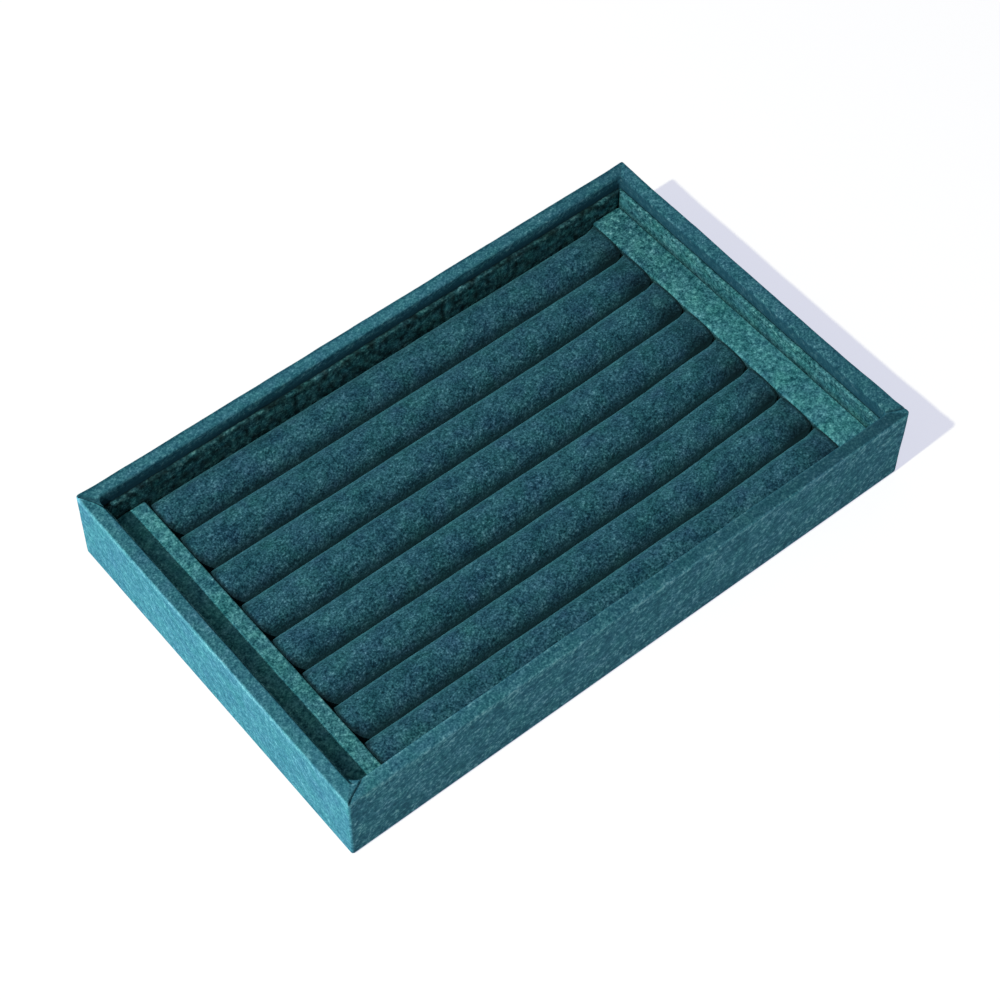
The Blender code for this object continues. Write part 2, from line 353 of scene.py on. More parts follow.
def velvet_colour(tree, colour, tone, flow):
    ramp = add(tree, "ShaderNodeValToRGB", {"Fac": tone})
    stops = ramp.color_ramp.elements
    stops[0].color = shade_of(colour, 0.0)
    stops[1].color = shade_of(colour, 1.0)
    for level in (0.25, 0.5, 0.75):
        stops.new(level).color = shade_of(colour, level)
    dye = grain(tree, flow, dye_scale, 3.0, 0.6)
    turn = maths(tree, "ADD", maths(tree, "MULTIPLY", dye, dye_drift), dye_start)
    return add(tree, "ShaderNodeHueSaturation",
               {"Hue": turn, "Color": ramp.outputs["Color"]}).outputs["Color"]


def velvet(name, colour, sheen_tint, sheen, sheen_rough, shares, relief):
    material, tree, shader = new_material(name)
    shares = dict(shares, cloud=cloud_share)
    flow = painted(tree, "pile_flow", "Vector")
    nap = painted(tree, "nap")
    grains = velvet_grains(tree, flow)
    # Where the painted light factor is strong, the grain tones are evened out.
    evened = maths(tree, "MINIMUM", maths(tree, "POWER", nap, nap_evening), most_evened)
    tone = maths(tree, "MULTIPLY", velvet_lean(tree, grains, shares), evened)
    tone = maths(tree, "ADD", tone, plain_tone)
    # Edges shift the tone: a painted highlight where they face the lamp, painted shade where
    # they are turned from it, and some random wear.
    tone = maths(tree, "ADD", tone, maths(tree, "MULTIPLY", painted(tree, "rubbed"), wear_and_light_gain))
    # Painted shade: where shade falls in creases, slots and recesses, the colour is darkened.
    shade_amount = maths(tree, "MULTIPLY", painted(tree, "pressed"), shade_strength)
    unshaded = maths(tree, "MAXIMUM", maths(tree, "SUBTRACT", 1.0, shade_amount), least_unshaded)
    # The dyed colour is scaled by the painted light factor and by what the painted shade leaves.
    dyed = add(tree, "ShaderNodeVectorMath",
               {0: velvet_colour(tree, colour, tone, flow),
                "Scale": maths(tree, "MULTIPLY", nap, unshaded)}, operation="SCALE")
    fibre = maths(tree, "ADD", maths(tree, "MULTIPLY", grains["pile"], fibre_share),
                  maths(tree, "MULTIPLY", grains["tuft"], fibre_share))
    stroke = maths(tree, "MULTIPLY", grains["stroke"], shares["stroke"])
    raised = add(tree, "ShaderNodeBump",
                 {"Height": maths(tree, "ADD", fibre, stroke), "Strength": relief,
                  "Distance": fibre_height})
    rough = add(tree, "ShaderNodeMapRange",
                {"Value": grains["pile"], "To Min": velvet_rough[0], "To Max": velvet_rough[1]})
    plug(tree, shader, {
        "Base Color": dyed.outputs["Vector"], "Normal": raised.outputs["Normal"],
        "Roughness": rough.outputs["Result"], "Specular IOR Level": velvet_specular,
        "Sheen Weight": sheen, "Sheen Roughness": sheen_rough,
        "Sheen Tint": (*sheen_tint, 1.0)})
    return material


wall_velvet = velvet("wall_velvet", colour=(0.0208, 0.092, 0.114),
                     sheen_tint=(0.13, 0.67, 0.97), sheen=0.22, sheen_rough=0.8,
                     shares={"pile": 1.15, "tuft": 1.15, "patch": 0.75, "stroke": 0.75},
                     relief=0.4)
lining_velvet = velvet("lining_velvet", colour=(0.0255, 0.122, 0.139),
                       sheen_tint=(0.2, 0.7, 0.75), sheen=0.015, sheen_rough=0.8,
                       shares={"pile": 1.2, "tuft": 0.85, "patch": 0.32, "stroke": 0.3},
                       relief=0.6)
roll_velvet = velvet("roll_velvet", colour=(0.0125, 0.061, 0.084),
                     sheen_tint=(0.2, 0.75, 0.85), sheen=0.2, sheen_rough=0.5,
                     shares={"pile": 1.5, "tuft": 0.55, "patch": 0.4, "stroke": 0.45},
                     relief=0.6)
print("velvets:", wall_velvet.name, lining_velvet.name, roll_velvet.name)

# %% [markdown]
# Boards
#
# Under the velvet the tray is pressed fibreboard and thin card. They show only when the
# insert is lifted out. Both are made of fibres, so both get a fine speckle, a few longer
# flecks and slightly darker patches where the board took up glue. The board under the
# rolls is coloured near black, as painted shade for the gaps between them, so that nothing
# pale shows there. A plain colour would do at a glance, but these boards are close to the
# eye once the insert is out.

# %% Board materials
glue_scale = 55.0
glue_share = 0.3
fleck_scale = 900.0
fleck_squeeze = (0.25, 1.0, 1.0)
fleck_levels = (0.66, 0.74)
dark_level, pale_level = 0.30, 0.70
board_relief = 0.1 * mm
board_rough = (0.70, 0.92)


def board_material(name, dark, pale, fleck, scale):
    material, tree, shader = new_material(name)
    place = add(tree, "ShaderNodeTexCoord").outputs["Object"]
    fine = grain(tree, place, scale, 4.0, 0.65)
    glue = grain(tree, place, glue_scale, 3.0, 0.5)
    tone = maths(tree, "ADD", maths(tree, "MULTIPLY", fine, 1.0 - glue_share),
                 maths(tree, "MULTIPLY", glue, glue_share))
    ramp = add(tree, "ShaderNodeValToRGB", {"Fac": tone})
    stops = ramp.color_ramp.elements
    stops[0].position, stops[0].color = dark_level, (*dark, 1.0)
    stops[1].position, stops[1].color = pale_level, (*pale, 1.0)
    drawn = add(tree, "ShaderNodeMapping", {"Vector": place, "Scale": fleck_squeeze}).outputs[0]
    flecks = add(tree, "ShaderNodeMapRange",
                 {"Value": grain(tree, drawn, fleck_scale, 1.0, 0.4),
                  "From Min": fleck_levels[0], "From Max": fleck_levels[1]}).outputs["Result"]
    mixed = add(tree, "ShaderNodeMix", {"Factor": flecks, "A": ramp.outputs["Color"],
                                        "B": (*fleck, 1.0)}, data_type="RGBA")
    raised = add(tree, "ShaderNodeBump",
                 {"Height": fine, "Strength": 0.5, "Distance": board_relief})
    rough = add(tree, "ShaderNodeMapRange",
                {"Value": fine, "To Min": board_rough[0], "To Max": board_rough[1]})
    plug(tree, shader, {"Base Color": mixed.outputs["Result"],
                        "Normal": raised.outputs["Normal"],
                        "Roughness": rough.outputs["Result"]})
    return material


fibreboard = board_material("pressed_fibreboard", dark=(0.24, 0.17, 0.10),
                            pale=(0.42, 0.32, 0.20), fleck=(0.12, 0.08, 0.05), scale=1400.0)
card = board_material("grey_card", dark=(0.30, 0.29, 0.27), pale=(0.48, 0.46, 0.42),
                      fleck=(0.16, 0.15, 0.14), scale=1800.0)
# Near-black card under the rolls: painted shade for the gaps between them.
gap_shade_card = board_material("gap_shade_card", dark=(0.008, 0.016, 0.019),
                           pale=(0.022, 0.034, 0.038), fleck=(0.045, 0.055, 0.058),
                           scale=1800.0)

for name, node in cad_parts.items():
    if name.startswith(("wall_board", "base_board", "end_pad_block")):
        node.material_slots[0].material = fibreboard
    elif name.startswith("lining_card"):
        node.material_slots[0].material = card
    elif name == "insert_board":
        node.material_slots[0].material = gap_shade_card
print("boards:", fibreboard.name, card.name, gap_shade_card.name)

# %% [markdown]
# Building cloth over a board
#
# A strip of velvet glued round a wall is one profile carried along a line. So we draw the
# profile as points, carry it from station to station, and join neighbours into a skin.
# A soft noise then moves the outside by a tenth of a millimetre or so, because cloth that
# was pulled over board by hand is never quite flat. The same helpers serve every strip.
# A corner of a profile is two places, the radius of its bend and the step between the
# points that follow. An unevenness is a height, the size of its waves and a seed.

# %% Easing helpers
def soft_step(value, start, end):
    share = min(1.0, max(0.0, (value - start) / (end - start)))
    return share * share * (3.0 - 2.0 * share)


def between(first, second, share):
    return first + (second - first) * share


def wobble(point, size, seed):
    return noise.noise(point / size + Vector((seed, seed * 0.37, seed * 0.71)))


def uneven(point, swells):
    return sum(height * wobble(point, size, seed) for height, size, seed in swells)


def hill(value, middle, spread):
    return math.exp(-((value - middle) / spread) ** 2)


print("half way along a soft step:", soft_step(0.5, 0.0, 1.0))

# %% Lines with round corners
def bent_line(corners, arc_steps=4):
    points = []
    last = len(corners) - 1
    for index, (d, z, radius, step) in enumerate(corners):
        if index in (0, last) or radius == 0.0:
            bend = [Vector((d, z))]
        else:
            here = Vector((d, z))
            back = (Vector(corners[index - 1][:2]) - here).normalized()
            ahead = (Vector(corners[index + 1][:2]) - here).normalized()
            half_angle = math.acos(max(-1.0, min(1.0, back.dot(ahead)))) / 2
            centre = here + (back + ahead).normalized() * (radius / math.sin(half_angle))
            start = here + back * (radius / math.tan(half_angle)) - centre
            end = here + ahead * (radius / math.tan(half_angle)) - centre
            turn = math.atan2(start.x * end.y - start.y * end.x, start.dot(end))
            bend = []
            for arc in range(arc_steps + 1):
                spin = Matrix.Rotation(turn * arc / arc_steps, 2)
                bend.append(centre + spin @ start)
        if points:
            gap = (bend[0] - points[-1]).length
            count = max(1, round(gap / corners[index - 1][3]))
            first = points[-1]
            points += [between(first, bend[0], part / count) for part in range(1, count)]
        points += bend
    return points


round_corner = bent_line([(0.0, 0.0, 0.0, 1.0), (2.0, 0.0, 1.0, 1.0), (2.0, 2.0, 0.0, 1.0)])
print("a rounded corner has", len(round_corner), "points")

# %% Skins, paint and pieces
def skin_of(name, work):
    bmesh.ops.recalc_face_normals(work, faces=work.faces)
    mesh = bpy.data.meshes.new(name)
    work.to_mesh(mesh)
    work.free()
    mesh.shade_smooth()
    return mesh


def skin_mesh(name, rows, closed_run):
    work = bmesh.new()
    grid = [[work.verts.new(point) for point in row] for row in rows]
    count = len(rows[0])
    last = len(rows) if closed_run else len(rows) - 1
    for index in range(last):
        row, following = grid[index], grid[(index + 1) % len(rows)]
        for point in range(count):
            after = (point + 1) % count
            work.faces.new((row[point], row[after], following[after], following[point]))
    if not closed_run:
        work.faces.new(list(reversed(grid[0])))
        work.faces.new(grid[-1])
    return skin_of(name, work)


def paint_velvet(mesh, flow, **paints):
    layer = mesh.attributes.new("pile_flow", "FLOAT_VECTOR", "POINT")
    layer.data.foreach_set("vector", [number for vector in flow for number in vector])
    for name, values in paints.items():
        layer = mesh.attributes.new(name, "FLOAT", "POINT")
        layer.data.foreach_set("value", values)


def add_piece(name, mesh, material, body):
    piece = into_scene(name, mesh)
    mesh.materials.append(material)
    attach(piece, body)
    return piece


print("helpers for a piece: skin_mesh, paint_velvet and add_piece")

# %% [markdown]
# The wrap round the walls
#
# One long strip of velvet goes round all four walls. It starts under the foot, climbs the
# outside, turns over the rim and runs down the inside. It has no seam at the outer
# corners, but on the rim the spare cloth is folded, and each corner was folded its own
# way. The profile below is that path; the second half is the side glued to the board.

# %% Profile of the wrap
cloth = board_low.y - wall_low.y - 0.3 * mm
rim_outer_bend = 0.55 * mm
rim_inner_bend = 0.85 * mm
foot_bend = 0.6 * mm
web_drop = 1.2 * mm
wrap_outside = bent_line([
    (wall_depth, 0.0, 0.0, 1.3 * mm),
    (0.0, 0.0, foot_bend, 1.5 * mm),
    (0.0, rim_height - 4.0 * mm, 0.0, 0.55 * mm),
    (0.0, rim_height, rim_outer_bend, 0.36 * mm),
    (wall_depth, rim_height, rim_inner_bend, 0.2 * mm),
    (wall_depth, rim_height - web_drop - 1.4 * mm, 0.0, 0.9 * mm),
    (wall_depth, lining_top - 0.6 * mm, 0.0, 3.9 * mm),
    (wall_depth, lining_foot, 0.0, 1.0 * mm),
])
wrap_inside = bent_line([
    (wall_depth - cloth, lining_foot, 0.0, 6.0 * mm),
    (wall_depth - cloth, rim_height - cloth, 0.3 * mm, 1.1 * mm),
    (cloth, rim_height - cloth, 0.3 * mm, 6.0 * mm),
    (cloth, cloth, 0.0, 2.0 * mm),
    (wall_depth, cloth, 0.0, 1.0 * mm),
], arc_steps=2)
print("wrap profile:", len(wrap_outside), "points outside,", len(wrap_inside), "inside")

# %% [markdown]
# Where the profile stands
#
# The profile is placed at several hundred stations on the way round the tray. Along a
# wall they are even. Near a corner they close up, because folds and bends need points.
# The profile can't simply turn with the path, since the inside of a mitred corner is
# sharper than the outside. So each station holds four places: the outer side, and the
# inner side at the foot, just below the rim and at the rim. Each corner has its own bends.

# %% Bends of the corners
outer_bend = (0.9 * mm, 1.6 * mm, 0.4 * mm, 0.55 * mm)
foot_inner_bend = 0.6 * mm
web_bend = (6.0 * mm, 1.5 * mm, 1.5 * mm, 2.2 * mm)
inner_rim_bend = (1.3 * mm, 1.5 * mm, 1.5 * mm, 2.2 * mm)
corner_signs = ((-1, -1), (1, -1), (1, 1), (-1, 1))


def in_corner(corner, p, q):
    sign_x, sign_y = corner_signs[corner]
    return Vector((sign_x * (tray_half_length - p), sign_y * (tray_half_width - q)))


def station(corner, swap, wall, places):
    spots = [in_corner(corner, q, p) if swap else in_corner(corner, p, q) for p, q in places]
    return spots, wall


def inner_bends(corner):
    return foot_inner_bend, web_bend[corner], inner_rim_bend[corner]


print("inner bends at the front left, mm:", [round(bend / mm, 1) for bend in inner_bends(0)])

# %% Stations round the walls
blend_length = 17.0 * mm
run_step = 1.5 * mm
corner_step = (0.30 * mm, 0.40 * mm, 0.6 * mm, 0.36 * mm)
corner_arc_steps = 12
spread_out = 1.6
crowding = 0.65


def run_end(corner, swap, wall):
    start = outer_bend[corner]
    count = round((blend_length - start) / corner_step[corner] / spread_out)
    rows = []
    for index in range(1, count):
        share = index / count
        share = share * (1.0 - crowding + crowding * share)
        places = [(between(start, blend_length, share), 0.0)]
        for bend in inner_bends(corner):
            places.append((between(wall_depth + bend, blend_length, share), wall_depth))
        rows.append(station(corner, swap, wall, places))
    return rows


def corner_rows(corner, swap, wall):
    rows = []
    insets = [(0.0, outer_bend[corner])] + [(wall_depth, bend) for bend in inner_bends(corner)]
    for index in range(corner_arc_steps + 1):
        angle = quarter * index / corner_arc_steps
        sine, cosine = 1.0 - math.sin(angle), 1.0 - math.cos(angle)
        places = [(inset + radius * sine, inset + radius * cosine) for inset, radius in insets]
        rows.append(station(corner, swap, wall + soft_step(index, 0, corner_arc_steps), places))
    return rows


def run_middle(corner, swap, wall, half_run):
    length = 2 * (half_run - blend_length)
    count = round(length / run_step)
    rows = []
    for index in range(count + 1):
        along = blend_length + length * index / count
        rows.append(station(corner, swap, wall, [(along, 0.0)] + [(along, wall_depth)] * 3))
    return rows


stations = []
for corner, half_run in enumerate((tray_half_length, tray_half_width,
                                   tray_half_length, tray_half_width)):
    swap = corner % 2 == 1
    following = (corner + 1) % 4
    stations += run_end(corner, swap, corner)
    stations += run_middle(corner, swap, corner, half_run)
    stations += list(reversed(run_end(following, swap, corner)))
    stations += corner_rows(following, swap, corner)
print("wrap stations:", len(stations))

# %% [markdown]
# How each corner was folded
#
# At the front left corner the fold is a slit that runs in from the outer corner, sunk into
# the rim and darkened with painted shade. At the back left the cloth laps over in a curved
# ridge, with a painted highlight on its crest and painted shade beside and inside it. At
# the front right it is bunched into a small bulge, and at the back right it hardly shows.
# Both back corners rise a little. Each fold is a line on the rim, in millimetres from the
# corner, and the cloth is lowered or raised, and painted with shade, by how far a point is
# from that line.

# %% Folds on the rim
fold_lines = (
    ((0.1, 0.0), (2.7, 1.6), (5.2, 2.9), (7.0, 3.7), (8.7, 4.9), (9.8, 6.2)),
    ((0.0, 2.9), (2.7, 4.1), (5.6, 5.6)),
    ((0.0, 0.0), (5.6, 5.6)),
)
fold_depth = (1.1 * mm, 0.6 * mm, 0.16 * mm)
fold_width = (0.34 * mm, 0.40 * mm, 0.40 * mm)
fold_lap = (0.22 * mm, 0.22 * mm, 0.05 * mm)
fold_lap_reach = 2.2 * mm
fold_shade = (1.3, 1.1, 0.2)
darkest_fold = 1.5
corner_rise = (0.0, 0.0, 0.45 * mm, 0.75 * mm)
corner_rise_reach = 5.0 * mm


def to_fold(corner, p, q):
    best, side = 1.0, 1.0
    line = [Vector(spot) * mm for spot in fold_lines[corner]]
    here = Vector((p, q))
    for start, end in zip(line, line[1:]):
        run = end - start
        share = max(0.0, min(1.0, (here - start).dot(run) / run.dot(run)))
        offset = here - start - run * share
        if offset.length < best:
            best = offset.length
            side = 1.0 if run.x * offset.y - run.y * offset.x > 0.0 else -1.0
    return best, side


print("folds drawn as lines:", len(fold_lines))

# %% Bulge and lapped ridge
ridge_start = 1.6 * mm
ridge_run = 10.0 * mm
ridge_swing = 4.6 * mm
ridge_height = 0.26 * mm
lap_drop = 0.9 * mm
bunch = ((0.55 * mm, 1.2 * mm, 4.5 * mm), (0.35 * mm, 12.0 * mm, 18.0 * mm))


def ridge_at(q):
    reach = min(1.0, max(0.0, (q - ridge_start) / ridge_run))
    return ridge_swing * math.sin(quarter * reach)


def lapped_corner(p, q):
    off = p - ridge_at(q)
    inside = soft_step(off, -0.05 * mm, 0.5 * mm)
    fade = 1.0 - soft_step(q, 9.0 * mm, 16.0 * mm)
    fade *= soft_step(q - p, -0.9 * mm, 0.5 * mm)
    # Painted highlight on the ridge's crest, painted shade just inside it and over the lowered
    # cloth.
    crest = hill(off, 0.0, 0.32 * mm) * fade
    line = hill(off, 0.6 * mm, 0.3 * mm) * fade
    shade = (0.8 * inside + 0.6 * line - 0.7 * crest) * fade
    return ridge_height * crest - lap_drop * inside * fade, shade


def bunched_cloth(p, q, z):
    bulge = sum(height * hill(q, middle, spread) for height, middle, spread in bunch)
    bulge *= soft_step(z, 6.0 * mm, 30.0 * mm) * soft_step(q, -1.0 * mm, 0.3 * mm)
    return bulge * (1.0 - soft_step(p, 0.3 * mm, 4.0 * mm))


def fold_shape(corner, p, q, z):
    """How far the rim is raised, the outside pushed out, and the painted shade of the fold, a
    painted highlight where it is below zero.
    """
    on_rim = soft_step(z, rim_height - 2.2 * mm, rim_height - 0.9 * mm)
    rise = corner_rise[corner] * hill(math.hypot(p, q), 0.0, corner_rise_reach) * on_rim
    if corner == 3:
        raised, shade = lapped_corner(p, q)
        return raised * on_rim + rise, 0.0, shade * on_rim
    away, side = to_fold(corner, p, q)
    depth = hill(away, 0.0, fold_width[corner])
    lap = math.exp(-away / fold_lap_reach) if side > 0.0 else 0.0
    raised = (fold_lap[corner] * lap - fold_depth[corner] * depth) * on_rim + rise
    bulge = bunched_cloth(p, q, z) if corner == 1 else 0.0
    return raised, bulge, min(darkest_fold, depth * on_rim * fold_shade[corner])


print("ridge swings in by", round(ridge_at(ridge_start + ridge_run) / mm, 1), "mm")

# %% [markdown]
# Painted light, shade and wear of the wall velvet
#
# The same cloth looks different on each wall, because each wall meets the lamp at another
# angle, and this is painted into the colour. So each wall has a painted light factor for its
# outside, three along its rim and two inside, and they blend at the corners; the front and
# left walls are also darker towards the foot. The outer edges of the front and left walls
# get a painted highlight, and those of the right and back walls, turned from the lamp,
# painted shade; the inner edges of the front and left walls are rubbed a little paler.
# Where a wall meets the lining, painted shade darkens the crease. Painting this point by
# point keeps one material for all four walls.

# %% Painted light, shade and wear of the wall velvet
# Painted light for each wall: factors that make its outside, rim and inside lighter or darker as
# the lamp falls on them; the front and left walls are also darker towards the foot.
slant_of_wall = (22.0, 140.0, 22.0, 142.0)
nap_outside = (0.88, 1.0, 1.0, 1.82)
nap_of_rim = ((1.04, 0.60, 0.25), (0.68, 0.82, 0.90), (0.58, 1.13, 0.88), (1.07, 0.94, 1.35))
nap_inside_foot = (0.8, 0.27, 0.52, 0.8)
nap_inside_top = (0.8, 0.24, 0.95, 1.5)
nap_at_foot = (0.78, 1.0, 1.0, 0.95)
outer_edge_light = (0.75, -0.4, -0.9, 0.75)
inner_wear = (0.6, 0.0, 0.0, 0.1)


def wrap_nap(wall, along, point):
    d, z = point
    start, middle, end = nap_of_rim[wall]
    if along < 0.5:
        rim_nap = between(start, middle, along * 2)
    else:
        rim_nap = between(middle, end, along * 2 - 1)
    on_rim = soft_step(d, 0.02 * mm, rim_outer_bend) if z > rim_height / 2 else 0.0
    foot_nap = between(nap_at_foot[wall], 1.0, soft_step(z, 0.0, rim_height / 2))
    nap = between(nap_outside[wall] * foot_nap, rim_nap, on_rim)
    if d <= wall_depth / 2:
        return nap
    inside = 1.0 - soft_step(z, rim_height - 1.6 * mm, rim_height - 0.5 * mm)
    climb = soft_step(z, lining_top + 0.5 * mm, rim_height - 0.8 * mm)
    return between(nap, between(nap_inside_foot[wall], nap_inside_top[wall], climb), inside)


# Painted highlight along the outer edges of the front and left walls, painted shade along those
# of the right and back walls; the inner edges are rubbed a little paler.
def edge_wear_and_light(wall, point, place):
    d, z = point
    below = rim_height - z
    if outer_edge_light[wall] > 0.0:
        outer = hill(d, 0.0, 0.45 * mm) * hill(below, 1.1 * mm, 1.3 * mm)
    else:
        outer = hill(d, 0.7 * mm, 0.6 * mm) * hill(below, 0.0, 0.6 * mm)
    inner = hill(wall_depth - d, 0.5 * mm, 0.45 * mm) * hill(below, 0.0, 0.6 * mm)
    patchy = 0.9 + 0.5 * wobble(place, 5.0 * mm, 41.0)
    return (outer_edge_light[wall] * outer + inner_wear[wall] * inner) * patchy


print("outside naps, front to left:", nap_outside)

# %% Creases over the lining
crease_reach = (1.5 * mm, 1.6 * mm, 3.4 * mm, 1.5 * mm)
crease_darkness = (1.3, 0.85, 1.6, 1.3)
crease_from = 0.9 * wall_depth
back_end_shade = 0.5
corner_shade = 0.45


# Painted shade in the crease where a wall meets the lining, more at the back end of the right
# wall and towards both ends of the back wall.
def crease_pressed(wall, point, place):
    if point.x <= crease_from:
        return 0.0
    above = soft_step(point.y, lining_top, lining_top + crease_reach[wall])
    press = crease_darkness[wall] * (1.0 - above)
    if wall == 1:
        to_corner = place.y - tray_half_width
        press += back_end_shade * soft_step(to_corner, -14.0 * mm, -7.0 * mm)
    if wall == 2:
        to_corner = abs(place.x) - tray_half_length
        press += corner_shade * soft_step(to_corner, -40.0 * mm, -10.0 * mm)
    return press


print("creases reach up, mm:", [round(reach / mm, 1) for reach in crease_reach])

# %% [markdown]
# From stations to cloth
#
# Every point of the skin is now found in three moves: its place between the outer and
# inner side of its station, a slight unevenness along its own normal, and near a corner
# the fold. The board side of the wrap needs only the first, since nobody sees it. The
# flow, which steers the strokes in the velvet, is the distance travelled and climbed,
# turned by the angle at which that wall's pile was brushed.

# %% Points of the wrap
wall_swells = ((0.13 * mm, 34.0 * mm, 3.0), (0.07 * mm, 7.0 * mm, 11.0),
               (0.035 * mm, 2.6 * mm, 19.0))
rim_swells = ((0.10 * mm, 12.0 * mm, 29.0),)
fold_zone, corner_zone = 8.0 * mm, 40.0 * mm
bulge_on_top = 0.6


def wrap_place(spots, point):
    d, z = point
    outer, low, web, rim = spots
    web_top = rim_height - web_drop
    inner = between(web, rim, soft_step(z, web_top - 0.35 * mm, web_top))
    inner = between(low, inner, soft_step(z, lining_top + 0.4 * mm, web_top - 1.3 * mm))
    plan = between(outer, inner, d / wall_depth)
    return Vector((plan.x, plan.y, z)), (inner - outer).normalized()


def wrap_skin_point(spots, point, normal):
    d, z = point
    place, inward = wrap_place(spots, point)
    p, q = tray_half_length - abs(place.x), tray_half_width - abs(place.y)
    corner = corner_signs.index((-1 if place.x < 0 else 1, -1 if place.y < 0 else 1))
    if d < wall_depth / 2:
        open_face = soft_step(z, 0.2 * mm, 3.0 * mm)
    else:
        open_face = soft_step(z, lining_top - 1.0 * mm, lining_top + 1.5 * mm)
    edge = soft_step(z, rim_height - 2.0 * mm, rim_height - 0.3 * mm)
    relief = uneven(place, wall_swells) + edge * uneven(place, rim_swells)
    facing = Vector((inward.x * normal.x, inward.y * normal.x, normal.y))
    place = place + facing * (relief * open_face)
    if min(p, q) >= fold_zone or max(p, q) >= corner_zone:
        return place, 0.0
    raised, bulge, pressed = fold_shape(corner, p, q, z)
    place.z += raised * max(0.0, normal.y)
    sideways = abs(min(0.0, normal.x) - max(0.0, normal.y) * bulge_on_top)
    place.x += bulge * corner_signs[corner][0] * sideways
    return place, pressed


outside_normals, climbs = [], [0.0]
for index, point in enumerate(wrap_outside):
    before = wrap_outside[max(0, index - 1)]
    after = wrap_outside[min(len(wrap_outside) - 1, index + 1)]
    along = (after - before).normalized()
    outside_normals.append(Vector((-along.y, along.x)))
    if index:
        climbs.append(climbs[-1] + (point - before).length)
profile_length = climbs[-1]
print("the profile is", round(profile_length / mm, 1), "mm long")

# %% Wrap mesh
rim_calm = 0.5
wall_apart = 0.1
rows, flow, rubbed, pressed, naps, calms = [], [], [], [], [], []
travelled = 0.0
for index, (spots, turn) in enumerate(stations):
    if index:
        travelled += (spots[0] - stations[index - 1][0][0]).length
    wall = min(3, round(turn)) if turn < 3.5 else 0
    half_run = tray_half_width if wall % 2 else tray_half_length
    spot_along = spots[0].y if wall % 2 else spots[0].x
    along = 0.5 + 0.5 * spot_along / half_run * (1 if wall < 2 else -1)
    slant = math.radians(slant_of_wall[wall])
    before, share = int(turn), turn - int(turn)
    row = []
    for point, normal, climbed in zip(wrap_outside, outside_normals, climbs):
        place, press = wrap_skin_point(spots, point, normal)
        row.append(place)
        rubbed.append(edge_wear_and_light(wall, point, place))
        calms.append(rim_calm * soft_step(point.y, rim_height - 0.8 * mm, rim_height - 0.2 * mm))
        pressed.append(press + crease_pressed(wall, point, place))
        flow.append((travelled * math.cos(slant) + climbed * math.sin(slant),
                     climbed * math.cos(slant) - travelled * math.sin(slant), wall * wall_apart))
        naps.append(between(wrap_nap(before % 4, along, point),
                            wrap_nap((before + 1) % 4, along, point), share))
    for point in wrap_inside:
        row.append(wrap_place(spots, point)[0])
        flow.append((travelled, profile_length, 0.5))
    for paints, plain in ((rubbed, 0.0), (pressed, 0.0), (calms, 0.0), (naps, 1.0)):
        paints += [plain] * len(wrap_inside)
    rows.append(row)

wrap_mesh = skin_mesh("wall_wrap", rows, closed_run=True)
paint_velvet(wrap_mesh, flow, rubbed=rubbed, pressed=pressed, nap=naps, calm=calms)
wall_wrap = add_piece("wall_wrap", wrap_mesh, wall_velvet, "tray")
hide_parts("wall_velvet_front", "wall_velvet_right", "wall_velvet_back",
            "wall_velvet_left")
print("wrap faces:", len(wrap_mesh.polygons))
print("cut", round(profile_length / mm, 1), "x", round(travelled / mm, 1), "mm")

# %% [markdown]
# The lining strips
#
# Inside the walls stand four card strips covered with the same velvet, brushed the other
# way, which makes it greener and lighter. They stop below the rim and leave a step. Their
# corners are mitred like a picture frame. The top edge of each strip is soft and uneven,
# most of all on the far side.

# %% Profile of the lining
lining_cloth = 0.6 * mm
lining_profile = bent_line([
    (lining_far - lining_cloth, lining_foot, 0.0, 1.0 * mm),
    (lining_far, lining_foot, 0.0, 1.6 * mm),
    (lining_far, lining_top, 0.55 * mm, 0.3 * mm),
    (lining_near, lining_top, 0.3 * mm, 0.5 * mm),
    (lining_near, lining_top - lining_cloth, 0.0, 0.6 * mm),
    (lining_far - lining_cloth, lining_top - lining_cloth, 0.0, 4.0 * mm),
    (lining_far - lining_cloth, lining_foot + 3.0 * mm, 0.0, 4.0 * mm),
])
print("lining profile:", len(lining_profile), "points")

# %% A lining strip
mitre_gap = 0.3 * mm
lining_step = 1.1 * mm
most_mottled = 1.6
most_pressed = 1.4


